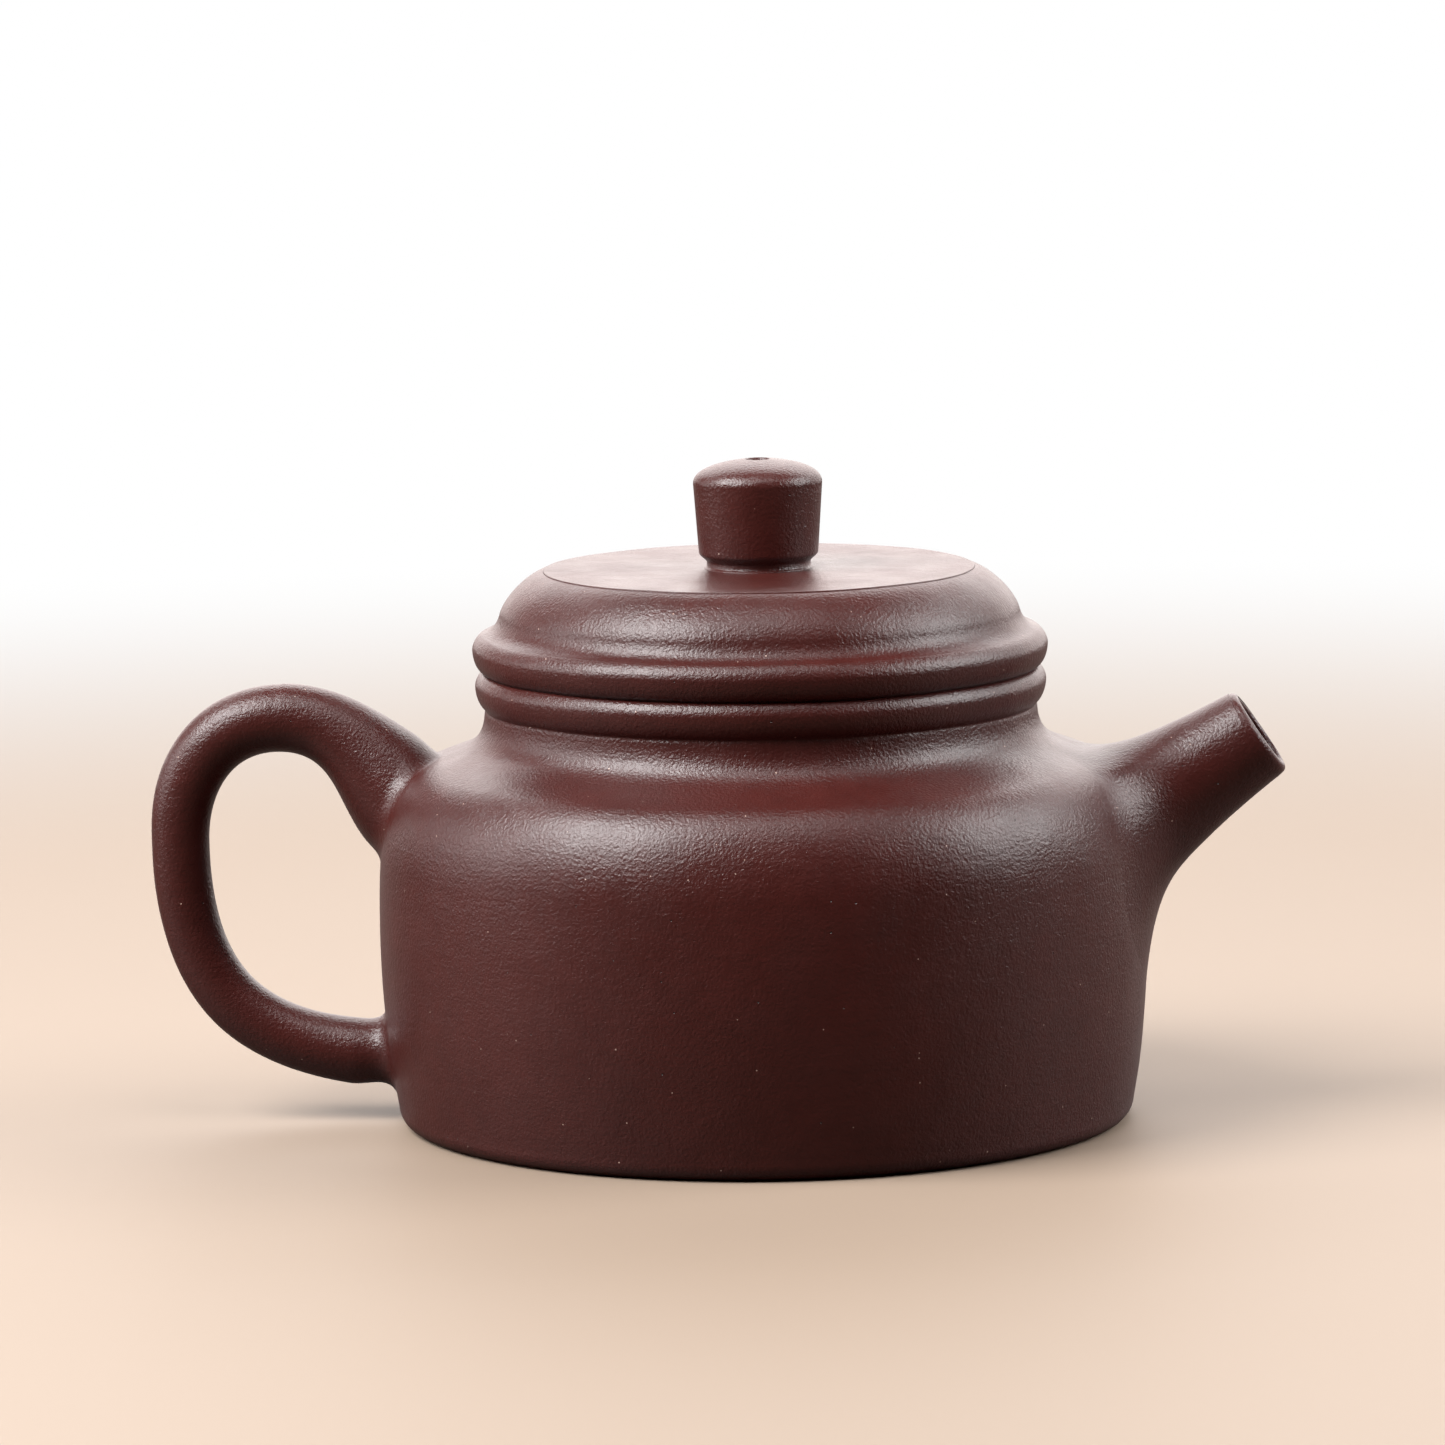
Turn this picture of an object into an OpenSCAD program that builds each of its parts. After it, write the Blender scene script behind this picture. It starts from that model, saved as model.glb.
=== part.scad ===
// Low, drum-bodied unglazed clay teapot, slab-built: every clay piece is its own solid.
// Frame: origin at the centre of the base, +Z up, +X towards the spout, handle towards -X.
// All sizes are in millimetres.

/* [Body] */
// Largest radius of the body
body_r = 47; // [46:0.5:48]
// Height at which the body is widest
belly_z = 25; // [23:0.5:27]
// Radius of the gentle upright bow of the wall
wall_bow_r = 135; // [120:5:160]
// Radius of the flat ring that the pot stands on
foot_r = 42.8; // [42.4:0.1:43.6]
// Thickness of the base, the wall and the shoulder
wall_t = 2.8; // [2.4:0.1:3.2]
// Height of the base plate
base_t = 3; // [2.6:0.1:4]

/* [Shoulder and mouth] */
// Radius and height of the point where the rounded corner becomes the sloping shoulder
shoulder_edge = [41, 44.15];
// Radius of the narrowest part of the neck
neck_r = 33.85; // [33.5:0.05:34.2]
// Radius of the bore of the neck and mouth
mouth_bore_r = 30.7; // [30.5:0.1:31]
// Height of the flat seat that the lid rests on
seat_z = 55.4; // [55:0.1:56]
// Outer radius of that seat
seat_r = 33.75; // [33.5:0.05:34]

/* [Lid] */
// Radius of the thin raised disc on top of the lid
disc_r = 26.3; // [25:0.1:27]
// Thickness of that disc
disc_t = 0.65; // [0.4:0.05:0.8]
// Gap between the lid flange and the bore of the neck
flange_gap = 0.3; // [0.2:0.05:0.5]
// Thickness of the flange
flange_t = 2.2; // [1.8:0.1:2.6]
// How far the flange reaches down into the neck
flange_depth = 8.5; // [7:0.5:10]

/* [Knob] */
// Radius of the short neck under the knob
knob_neck_r = 6.35; // [5.5:0.05:6.6]
// Largest radius of the knob
knob_r = 7.86; // [7.6:0.02:8.2]
// Height of the knob above the lid
knob_h = 13.25; // [12.5:0.05:14]
// Radius of the air hole through the knob and the lid
air_hole_r = 1.3; // [1:0.1:1.5]

/* [Spout] */
// Angle at which the spout rises
spout_tilt = 35.5; // [34:0.5:37]
// Outer radius at the spout's mouth
spout_tip_r = 5.75; // [5.4:0.05:6.1]
// Radius of the bore at the spout's mouth
spout_bore_r = 4.4; // [4.1:0.1:4.6]
// Radius of the bore where it passes through the wall
passage_r = 6.2; // [5.8:0.1:6.4]

/* [Strainer] */
// Outer radius of the strainer's ball
strainer_r = 8.2; // [8:0.1:8.6]
// Thickness of the strainer
strainer_t = 1.3; // [1:0.1:1.4]
// Radius of each strainer hole
strainer_hole_r = 0.65; // [0.5:0.05:0.75]

/* [Handle] */
// Half thickness of the handle at its slimmest, near the bottom
handle_r = 3.55; // [3.3:0.05:4]
// How much wider the handle is from side to side than it is thick
handle_oval = 1.03; // [1:0.01:1.2]

/* [Hidden] */
clay = [0.36, 0.22, 0.20];
inner_clay = [0.42, 0.27, 0.24];
turn_fn = 96;
curve_steps = 8;
past = 1;

// Heights of the joints between the clay pieces of the pot
wall_join_z = 40;
neck_join_z = 46;
rim_join_z = seat_z - 4.2;
wall_top_z = 33;

// Lid heights
bead_top_z = seat_z + 4.6;
bead_inner_r = 31.5;
cover_top_z = seat_z + 11.6;
lid_top_z = cover_top_z + disc_t;
cover_ceiling_z = cover_top_z - 2.9;

// Spout axis: the middle of its mouth, and the place where the axis meets the wall
mouth_centre = [60.85, 47.15];
spout_dir = [cos(spout_tilt), sin(spout_tilt)];
spout_length = 20;
taper_length = 14;
passage_reach = 32;
strainer_centre = mouth_centre - spout_length * spout_dir;

function bezier(p, t) =
    pow(1 - t, 3) * p[0] + 3 * t * pow(1 - t, 2) * p[1] + 3 * t * t * (1 - t) * p[2] + pow(t, 3) * p[3];

// A curve's points without its last one, which is the first point of the next curve
function curve(p, steps = curve_steps) = [for (i = [0:steps - 1]) bezier(p, i / steps)];

function wall_radius(z) = body_r - pow(z - belly_z, 2) / (2 * wall_bow_r);

// The upright wall between two heights, moved inwards by inset
function wall_line(z_low, z_high, inset, steps = curve_steps) =
    [for (i = [0:steps - 1]) let (z = z_low + (z_high - z_low) * i / steps) [wall_radius(z) - inset, z]];

// Outline of the pot's outside, from the foot up to the outer edge of the seat
foot_edge_z = 2.2;
wall_foot = [wall_radius(foot_edge_z), foot_edge_z];
wall_top = [wall_radius(wall_top_z), wall_top_z];
neck_foot = [neck_r, rim_join_z];
rim_bulge = [neck_r + 0.95, rim_join_z + 2.6];
seat_edge = [seat_r, seat_z];
pot_outside = concat(
    curve([[foot_r, 0], [foot_r + 1.5, 0.1], wall_foot - [0.1, 1.2], wall_foot]),
    wall_line(foot_edge_z, wall_top_z, 0),
    curve([wall_top, wall_top + [-0.33, 5.5], shoulder_edge + [3.2, -1.28], shoulder_edge]),
    curve([shoulder_edge, shoulder_edge + [-4, 1.6], neck_foot + [0.3, -4.6], neck_foot]),
    curve([neck_foot, neck_foot + [0.15, 0.65], rim_bulge - [0, 1.2], rim_bulge]),
    curve([rim_bulge, rim_bulge + [0, 0.9], seat_edge + [0.8, -0.1], seat_edge]),
    [seat_edge]);

// Outline of the pot's hollow, from the base up to the mouth
inner_top = [wall_radius(wall_top_z) - wall_t, wall_top_z];
neck_inside = [mouth_bore_r, shoulder_edge[1] - 0.4];
pot_inside = concat(
    [[0, base_t]],
    wall_line(base_t, wall_top_z, wall_t),
    curve([inner_top, inner_top + [-0.33, 5], neck_inside + [10, -1.6], neck_inside]),
    [neck_inside, [mouth_bore_r, seat_z + past], [0, seat_z + past]]);

// Outline of the lid's raised bead, from the seat up
bead_bulge = [seat_r + 1.3, seat_z + 2.7];
bead_top = [seat_r - 0.05, bead_top_z];
bead_outside = concat(
    curve([seat_edge, seat_edge + [0.6, 0.1], bead_bulge - [0.05, 1.5], bead_bulge]),
    curve([bead_bulge, bead_bulge + [0.03, 1], bead_top + [1, -0.25], bead_top]),
    [bead_top]);

// Outline of the lid from the top of the bead, through a cove, over the domed edge to the top disc
cove_top = [31.65, bead_top_z + 2.4];
cover_edge = [disc_r, cover_top_z];
cover_outside = concat(
    curve([bead_top, bead_top + [-1.2, 0.3], cove_top + [0.3, -1.2], cove_top]),
    curve([cove_top, cove_top + [-0.55, 1.8], cover_edge + [2.3, -0.6], cover_edge]),
    [cover_edge]);

// Outline of the hollow under the lid, and the air hole that opens into it like a trumpet
flange_outer_r = mouth_bore_r - flange_gap;
flange_inner_r = flange_outer_r - flange_t;
ceiling_edge = [19, cover_ceiling_z];
trumpet_r = 3;
cover_inside = concat(
    [[air_hole_r, cover_top_z], [trumpet_r, cover_ceiling_z]],
    curve([ceiling_edge, ceiling_edge + [5, 0], [flange_inner_r, seat_z + 6.5], [flange_inner_r, seat_z]]),
    [[flange_inner_r, seat_z]]);

// Edges of the spout's root and of its tube, seen from the side, and its half width
spout_top_edge = [[57.6, 51.9], [51.5, 48.9], [47, 45.9], [37.5, 45.4]];
spout_low_edge = [[64.1, 42.4], [55.5, 35.6], [46.8, 28.6], [46.4, 18]];
spout_half_width = [spout_tip_r, spout_tip_r + 0.85, spout_tip_r + 1.45, 13.5];

// Edges of the handle's root, seen from the side, from inside the shoulder to the crest, and its half width
handle_top_edge = [[-38, 44.3], [-44.5, 48.8], [-50.5, 53.9], [-58.9, 53.8]];
handle_low_edge = [[-45, 31.5], [-52.5, 35], [-50.5, 45.4], [-58.9, 45.5]];
handle_root_width = [9, 6.2, 4.4, 4.1 * handle_oval];

// Middle line of the rest of the handle, from the crest down to the foot of the wall, and its half thickness
handle_line = [
    [[-58.9, 49.6], [-66.5, 49.6], [-71.5, 43.5], [-71.5, 35]],
    [[-71.5, 35], [-71.5, 16.5], [-64, 7.9], [-43.4, 7.9]]];
handle_thick = [
    [4.1, 4, 3.8, handle_r],
    [handle_r, handle_r - 0.1, handle_r, handle_r + 0.8]];

// Closes a stack of rings, each a list of points, into one solid
module ring_solid(rings) {
    ring_count = len(rings);
    sides = len(rings[0]);
    sides_faces = [for (i = [0:ring_count - 2], j = [0:sides - 1])
        let (k = (j + 1) % sides, a = i * sides + j, b = i * sides + k, c = a + sides, d = b + sides)
        each [[a, b, d], [a, d, c]]];
    first_cap = [for (j = [1:sides - 2]) [0, j + 1, j]];
    last = (ring_count - 1) * sides;
    last_cap = [for (j = [1:sides - 2]) [last, last + j, last + j + 1]];
    polyhedron(points = [for (ring = rings) each ring], faces = concat(sides_faces, first_cap, last_cap));
}

// An oval ring of points about a centre, with one half axis in the XZ plane and one along Y
function oval_ring(centre, half_axis, half_width, sides) =
    [for (j = [0:sides - 1]) let (a = 360 * j / sides)
        [centre[0] + half_axis[0] * cos(a), half_width * sin(a), centre[1] + half_axis[1] * cos(a)]];

function unit(v) = v / norm(v);

// Half axis of the handle's oval: square to the middle line, with the given length
function square_to(p, t, size) =
    let (d = unit(bezier(p, min(1, t + 0.01)) - bezier(p, max(0, t - 0.01)))) [d[1], -d[0]] * size;

module pot_solid()
    rotate_extrude($fn = turn_fn) polygon(concat([[0, 0]], pot_outside, [[0, seat_z]]));

module pot_hollow()
    rotate_extrude($fn = turn_fn) polygon(pot_inside);

// The pot's wall between two heights
module clay_band(z_low, z_high)
    rotate_extrude($fn = turn_fn)
        intersection() {
            difference() {
                polygon(concat([[0, 0]], pot_outside, [[0, seat_z]]));
                polygon(pot_inside);
            }
            translate([0, z_low]) square([body_r + past, z_high - z_low]);
        }

// Puts its children on the spout's axis, with +Z pointing out of the spout's mouth
module on_spout_axis(distance)
    translate([mouth_centre[0] + distance * spout_dir[0], 0, mouth_centre[1] + distance * spout_dir[1]])
        rotate([0, 90 - spout_tilt, 0])
            children();

// The way that the tea takes from behind the strainer to the spout's mouth
module spout_passage() {
    on_spout_axis(-passage_reach) cylinder(r = passage_r, h = passage_reach - taper_length, $fn = 48);
    on_spout_axis(-taper_length) cylinder(r1 = passage_r, r2 = spout_bore_r, h = taper_length, $fn = 48);
    on_spout_axis(0) cylinder(r = spout_bore_r, h = past, $fn = 48);
}

module base_plate()
    color(clay) clay_band(0, base_t);

module body_wall()
    color(clay)
        difference() {
            clay_band(base_t, wall_join_z);
            spout_passage();
        }

module shoulder_plate()
    color(clay)
        difference() {
            clay_band(wall_join_z, neck_join_z);
            spout_passage();
        }

module neck_ring()
    color(clay) clay_band(neck_join_z, rim_join_z);

module mouth_rim()
    color(clay) clay_band(rim_join_z, seat_z);

module spout() {
    ring_count = 18;
    sides = 32;
    rings = [for (i = [0:ring_count])
        let (t = i / ring_count, top = bezier(spout_top_edge, t), low = bezier(spout_low_edge, t))
        oval_ring((top + low) / 2, (top - low) / 2, bezier(spout_half_width, t), sides)];
    color(clay)
        difference() {
            ring_solid(rings);
            pot_solid();
            spout_passage();
        }
}

// A ball of clay pierced by rings of small holes, standing in the corner of wall and shoulder
module strainer()
    color(inner_clay)
        difference() {
            intersection() {
                translate([strainer_centre[0], 0, strainer_centre[1]]) sphere(r = strainer_r, $fn = 64);
                pot_hollow();
            }
            translate([strainer_centre[0], 0, strainer_centre[1]]) sphere(r = strainer_r - strainer_t, $fn = 64);
            for (ring = [0:2], i = [0:max(1, ring * 6) - 1])
                on_spout_axis(-spout_length)
                    rotate([0, 0, 60 * i / max(1, ring)])
                        rotate([0, 180 - 17 * ring, 0])
                            translate([0, 0, strainer_r - strainer_t - past])
                                cylinder(r = strainer_hole_r, h = strainer_t + 2 * past, $fn = 24);
        }

module handle() {
    steps = 18;
    sides = 20;
    root = [for (i = [0:steps - 1])
        let (t = i / steps, top = bezier(handle_top_edge, t), low = bezier(handle_low_edge, t))
        oval_ring((top + low) / 2, (top - low) / 2, bezier(handle_root_width, t), sides)];
    bow = [for (part = [0:1], i = [0:(part == 1 ? steps : steps - 1)])
        let (t = i / steps, thick = bezier(handle_thick[part], t), line = handle_line[part])
        oval_ring(bezier(line, t), square_to(line, t, thick), thick * handle_oval, sides)];
    color(clay)
        difference() {
            ring_solid(concat(root, bow));
            pot_solid();
        }
}

module lid_flange()
    color(inner_clay)
        translate([0, 0, seat_z - flange_depth])
            difference() {
                cylinder(r = flange_outer_r, h = flange_depth, $fn = turn_fn);
                translate([0, 0, -past]) cylinder(r = flange_inner_r, h = flange_depth + 2 * past, $fn = turn_fn);
            }

module lid_cover()
    color(clay)
        rotate_extrude($fn = turn_fn)
            polygon(concat([[bead_inner_r, seat_z], [bead_inner_r, bead_top_z]], cover_outside, cover_inside));

module lid_top_disc()
    color(clay)
        rotate_extrude($fn = turn_fn)
            translate([air_hole_r, cover_top_z]) square([disc_r - air_hole_r, disc_t]);

module lid_rim_bead()
    color(clay)
        rotate_extrude($fn = turn_fn)
            polygon(concat([[bead_inner_r, seat_z]], bead_outside, [[bead_inner_r, bead_top_z]]));

module knob() {
    foot = [knob_neck_r, lid_top_z];
    side_low = [knob_r - 0.58, lid_top_z + 1.75];
    side_top = [knob_r, lid_top_z + knob_h - 2.9];
    crown_edge = [air_hole_r + 0.35, lid_top_z + knob_h];
    outline = concat(
        [[air_hole_r, lid_top_z], foot, foot + [0, 0.9], side_low],
        curve([side_top, side_top + [0.05, 1.7], crown_edge + [3.6, -0.4], crown_edge]),
        [crown_edge, [air_hole_r, lid_top_z + knob_h - 0.6]]);
    color(clay) rotate_extrude($fn = turn_fn) polygon(outline);
}

base_plate();
body_wall();
shoulder_plate();
neck_ring();
mouth_rim();
spout();
strainer();
handle();
lid_flange();
lid_cover();
lid_top_disc();
lid_rim_bead();
knob();
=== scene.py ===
# %% [markdown]
# # A low Yixing clay teapot
# The pot is built by hand from slabs of unglazed purple-brown clay: a base plate, an upright wall, a
# shoulder plate, a neck, a round mouth rim, a straight spout and an ear-shaped handle. The lid is a domed
# cover with a thin disc, a bead, a flange and a knob. The CAD model sets the main sizes and the places where
# pieces meet. This script gives each clay piece a finer surface and the look of fired, burnished clay, in
# metres, in the same frame: the origin is the middle of the base, +X points to the spout and +Z up.

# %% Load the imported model
import math

import bmesh
import bpy
from mathutils import Matrix, Vector


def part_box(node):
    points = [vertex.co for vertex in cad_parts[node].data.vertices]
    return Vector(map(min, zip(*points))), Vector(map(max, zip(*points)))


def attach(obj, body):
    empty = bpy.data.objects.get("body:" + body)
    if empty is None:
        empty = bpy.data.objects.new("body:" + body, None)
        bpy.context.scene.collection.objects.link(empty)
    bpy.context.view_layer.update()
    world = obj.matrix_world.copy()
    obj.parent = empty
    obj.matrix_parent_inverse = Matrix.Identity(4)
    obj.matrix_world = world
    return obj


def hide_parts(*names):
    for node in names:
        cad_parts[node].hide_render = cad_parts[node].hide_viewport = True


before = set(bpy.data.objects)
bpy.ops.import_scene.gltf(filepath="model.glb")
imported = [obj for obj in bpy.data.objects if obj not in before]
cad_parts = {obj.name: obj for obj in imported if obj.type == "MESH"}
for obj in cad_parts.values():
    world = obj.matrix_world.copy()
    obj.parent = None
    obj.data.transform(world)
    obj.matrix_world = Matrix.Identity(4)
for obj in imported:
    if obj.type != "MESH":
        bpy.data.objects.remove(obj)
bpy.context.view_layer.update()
MM = 0.001
print("nodes:", sorted(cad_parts))

# %% [markdown]
# The camera comes first. It is a long lens about a metre away, a little above the lid, so the round
# edges show as flat ovals. The pot is turned a few degrees, spout towards the camera. A camera looks down
# its own -Z axis, so its matrix is built from where it looks, its right-hand side and its up side.

# %% Camera
camera_distance = 0.9916
camera_height = 0.1828
pot_turn = math.radians(2.6)
camera_pan = math.radians(-0.272)
camera_dip = math.radians(7.706)
camera_roll = math.radians(-0.866)


def aim(pan, dip, roll):
    """The camera's axes in a frame whose +Y is the way from the camera to the pot."""
    ahead = Vector((math.sin(pan) * math.cos(dip), math.cos(pan) * math.cos(dip), -math.sin(dip)))
    level = ahead.cross(Vector((0, 0, 1))).normalized()
    upright = level.cross(ahead)
    right = level * math.cos(roll) + upright * math.sin(roll)
    up = upright * math.cos(roll) - level * math.sin(roll)
    return Matrix((right, up, -ahead)).transposed().to_4x4()


camera = bpy.data.objects.new("camera", bpy.data.cameras.new("camera"))
camera.data.lens = 204.3
camera.data.sensor_width = 36
camera.data.clip_end = 20
camera.matrix_world = (Matrix.Rotation(pot_turn, 4, "Z")
                       @ Matrix.Translation((0, -camera_distance, camera_height))
                       @ aim(camera_pan, camera_dip, camera_roll))
bpy.context.scene.collection.objects.link(camera)
bpy.context.scene.camera = camera
print("camera at", [round(v, 3) for v in camera.matrix_world.translation])

# %% [markdown]
# The stage is one pale sheet, flat under the pot. The world behind it is plain white to the camera, but as
# a light it is dim in front and bright at the back, as in a small tabletop studio. Soft boxes do the rest.
# The main one is large, high on the left, and makes the broad sheen on the shoulder. A small one overhead
# fills the lid. One on the right and a low one on the left round off the two ends of the wall, and a wide
# one behind the pot lights the far edge of the lid and of the shoulder.

# %% Floor, world and lights
def floor_material():
    """A pale sheet to the camera, fading to white further out. The pot sees a darker, warmer one."""
    material = bpy.data.materials.new("pale_floor")
    material.use_nodes = True
    nodes, links = material.node_tree.nodes, material.node_tree.links
    ray = nodes.new("ShaderNodeLightPath").outputs["Is Camera Ray"]
    surface = nodes["Principled BSDF"]
    surface.inputs["Roughness"].default_value = 0.6
    tone = nodes.new("ShaderNodeMix")
    tone.data_type = "RGBA"
    seen_by_pot, seen_by_camera = tone.inputs[6], tone.inputs[7]
    seen_by_pot.default_value = (0.050, 0.026, 0.016, 1)
    seen_by_camera.default_value = (0.30, 0.225, 0.170, 1)
    white = nodes.new("ShaderNodeEmission")
    where = nodes.new("ShaderNodeTexCoord")
    reach = nodes.new("ShaderNodeVectorMath")
    reach.operation = "LENGTH"
    fade = nodes.new("ShaderNodeMapRange")
    fade.interpolation_type = "SMOOTHSTEP"
    fade.inputs["From Min"].default_value = 0.22
    fade.inputs["From Max"].default_value = 0.60
    seen = nodes.new("ShaderNodeMath")
    seen.operation = "MULTIPLY"
    mix = nodes.new("ShaderNodeMixShader")
    links.new(ray, tone.inputs[0])
    links.new(tone.outputs[2], surface.inputs["Base Color"])
    links.new(where.outputs["Object"], reach.inputs[0])
    links.new(reach.outputs["Value"], fade.inputs["Value"])
    links.new(fade.outputs["Result"], seen.inputs[0])
    links.new(ray, seen.inputs[1])
    links.new(seen.outputs[0], mix.inputs[0])
    links.new(surface.outputs[0], mix.inputs[1])
    links.new(white.outputs[0], mix.inputs[2])
    links.new(mix.outputs[0], nodes["Material Output"].inputs[0])
    return material


def make_floor(size):
    mesh = bpy.data.meshes.new("floor")
    half = size / 2
    corners = [(-half, -half, 0), (half, -half, 0), (half, half, 0), (-half, half, 0)]
    mesh.from_pydata(corners, [], [(0, 1, 2, 3)])
    mesh.materials.append(floor_material())
    floor = bpy.data.objects.new("floor", mesh)
    bpy.context.scene.collection.objects.link(floor)


def make_world():
    world = bpy.data.worlds.new("studio")
    world.use_nodes = True
    nodes, links = world.node_tree.nodes, world.node_tree.links
    shown = nodes["Background"]
    shown.inputs["Color"].default_value = (1, 1, 1, 1)
    lit = nodes.new("ShaderNodeBackground")
    lit.inputs["Color"].default_value = (1, 0.92, 0.89, 1)
    where = nodes.new("ShaderNodeTexCoord")
    towards = nodes.new("ShaderNodeVectorMath")
    towards.operation = "DOT_PRODUCT"
    towards.inputs[1].default_value = (0.10, 0.945, -0.31)
    fade = nodes.new("ShaderNodeMapRange")
    fade.interpolation_type = "SMOOTHSTEP"
    for socket, value in (("From Min", 0.45), ("From Max", 0.86), ("To Min", 0.02), ("To Max", 2.6)):
        fade.inputs[socket].default_value = value
    ray = nodes.new("ShaderNodeLightPath")
    mix = nodes.new("ShaderNodeMixShader")
    links.new(where.outputs["Generated"], towards.inputs[0])
    links.new(towards.outputs["Value"], fade.inputs["Value"])
    links.new(fade.outputs["Result"], lit.inputs["Strength"])
    links.new(ray.outputs["Is Camera Ray"], mix.inputs[0])
    links.new(lit.outputs[0], mix.inputs[1])
    links.new(shown.outputs[0], mix.inputs[2])
    links.new(mix.outputs[0], nodes["World Output"].inputs[0])
    bpy.context.scene.world = world


def soft_box(name, turn, rise, width, height, power):
    """A soft box aimed at the pot. Turn is in degrees from straight behind, by way of the spout's side."""
    light = bpy.data.lights.new(name, "AREA")
    light.shape = "RECTANGLE"
    light.size, light.size_y = width, height
    light.energy = power
    lamp = bpy.data.objects.new(name, light)
    turn, rise = math.radians(turn), math.radians(rise)
    away = Vector((math.sin(turn) * math.cos(rise), math.cos(turn) * math.cos(rise), math.sin(rise)))
    place = pot_middle + light_distance * away
    way = pot_middle - place
    lamp.matrix_world = Matrix.Translation(place) @ way.to_track_quat("-Z", "Y").to_matrix().to_4x4()
    lamp.visible_camera = False
    bpy.context.scene.collection.objects.link(lamp)


make_floor(12)
make_world()
pot_middle = Vector((0, 0, 0.045))
light_distance = 0.95
soft_box("main_box", 242, 47, 0.60, 0.56, 18.5)
soft_box("top_box", 170, 74, 0.40, 0.40, 2.6)
soft_box("side_box", 86, 32, 0.66, 0.60, 9.8)
soft_box("low_left_box", 272, 16, 0.70, 0.34, 3.0)
soft_box("back_box", 0, 37, 1.40, 0.38, 5.0)
bpy.context.scene.view_settings.view_transform = "Standard"

# %% [markdown]
# Burnished clay is one material on almost the whole pot. The potter rubs the leather-hard clay with a horn
# tool, which lays the fine grains flat, so the fired surface is satin and not glossy. Up close it still
# shows a skin of tiny wrinkles about half a millimetre across with a finer grain on them, faint lines where
# the tool ran round, a few pale specks of mica and some pinholes. Each of those is a layer of procedural
# texture on Object coordinates, so they keep their real size on every piece. The pinholes are small dents in
# the bump, and their near-black colour is painted shade for the dark inside of each hole. The lid's flange
# and the strainer are only scraped, so a second, duller version of the same material goes there.

# %% Clay
def noise(tree, where, scale, detail=2.0, rough=0.5, distortion=0.0):
    node = tree.nodes.new("ShaderNodeTexNoise")
    node.inputs["Scale"].default_value = scale
    node.inputs["Detail"].default_value = detail
    node.inputs["Roughness"].default_value = rough
    node.inputs["Distortion"].default_value = distortion
    tree.links.new(where, node.inputs["Vector"])
    return node.outputs["Fac"]


def remap(tree, value, low, high, to_low, to_high):
    node = tree.nodes.new("ShaderNodeMapRange")
    for socket, number in (("From Min", low), ("From Max", high), ("To Min", to_low), ("To Max", to_high)):
        node.inputs[socket].default_value = number
    tree.links.new(value, node.inputs["Value"])
    return node.outputs["Result"]


def calculate(tree, operation, *values):
    """A Math node fed with numbers or with other nodes' results."""
    node = tree.nodes.new("ShaderNodeMath")
    node.operation = operation
    for socket, value in zip(node.inputs, values):
        if isinstance(value, (int, float)):
            socket.default_value = value
        else:
            tree.links.new(value, socket)
    return node.outputs["Value"]


def mix_colour(tree, factor, first, second):
    node = tree.nodes.new("ShaderNodeMix")
    node.data_type = "RGBA"
    for socket, value in ((node.inputs[0], factor), (node.inputs[6], first), (node.inputs[7], second)):
        if isinstance(value, (int, float, tuple)):
            socket.default_value = value
        else:
            tree.links.new(value, socket)
    return node.outputs[2]


def stretched(tree, where, scale):
    node = tree.nodes.new("ShaderNodeMapping")
    node.inputs["Scale"].default_value = scale
    tree.links.new(where, node.inputs["Vector"])
    return node.outputs["Vector"]


def spots(tree, where, scale, radius, share):
    """1 inside round spots, in the given share of the cells of a random pattern, and 0 outside."""
    cells = tree.nodes.new("ShaderNodeTexVoronoi")
    cells.inputs["Scale"].default_value = scale
    tree.links.new(where, cells.inputs["Vector"])
    inside = remap(tree, cells.outputs["Distance"], radius * 0.6, radius, 1.0, 0.0)
    split = tree.nodes.new("ShaderNodeSeparateColor")
    tree.links.new(cells.outputs["Color"], split.inputs[0])
    chosen = calculate(tree, "GREATER_THAN", split.outputs[0], 1 - share)
    return calculate(tree, "MULTIPLY", inside, chosen)


def bump(tree, height, distance, strength, below=None):
    node = tree.nodes.new("ShaderNodeBump")
    node.inputs["Distance"].default_value = distance
    node.inputs["Strength"].default_value = strength
    tree.links.new(height, node.inputs["Height"])
    if below is not None:
        tree.links.new(below, node.inputs["Normal"])
    return node.outputs["Normal"]


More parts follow.
